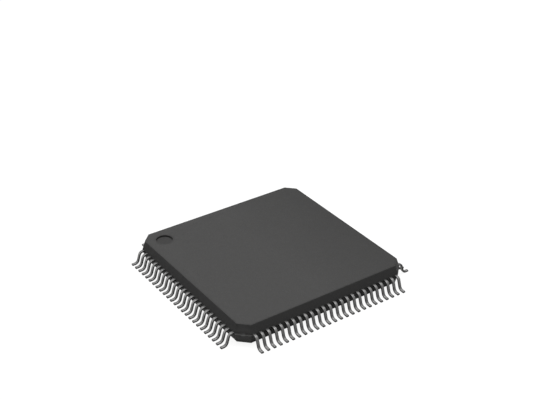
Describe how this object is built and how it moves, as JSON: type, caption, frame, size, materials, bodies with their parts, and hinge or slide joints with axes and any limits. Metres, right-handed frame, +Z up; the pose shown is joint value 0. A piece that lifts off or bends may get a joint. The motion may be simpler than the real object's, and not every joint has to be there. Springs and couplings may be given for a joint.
{
  "type": "microcontroller chip",
  "caption": "Square moulded chip package with cut corners, a round pin-one recess and gull-wing leads on all four sides, round a wire-bonded silicon die.",
  "frame": {"origin": "centre of the body, on the plane that the feet of the leads stand on", "axes": "+Z up through the marked face; the pin-one recess is at the -X +Y corner, and the leads are numbered from there down the -X side and on round"},
  "size_m": [0.016, 0.016, 0.0016],
  "materials": {
    "mold_compound": "fine matt, filled epoxy",
    "tinned_lead": "satin, matt tin plating on copper alloy",
    "copper_alloy": "bare rolled copper alloy",
    "die_adhesive": "silver-filled adhesive",
    "silicon": "polished",
    "bond_wire": "drawn gold wire"
  },
  "bodies": {
    "root": {"mold_body": "mold_compound", "leads_left": "tinned_lead", "leads_front": "tinned_lead", "leads_right": "tinned_lead", "leads_rear": "tinned_lead", "die_pad": "copper_alloy", "die_attach": "die_adhesive", "die": "silicon", "wires_left": "bond_wire", "wires_front": "bond_wire", "wires_right": "bond_wire", "wires_rear": "bond_wire"}
  },
  "joints": []
}
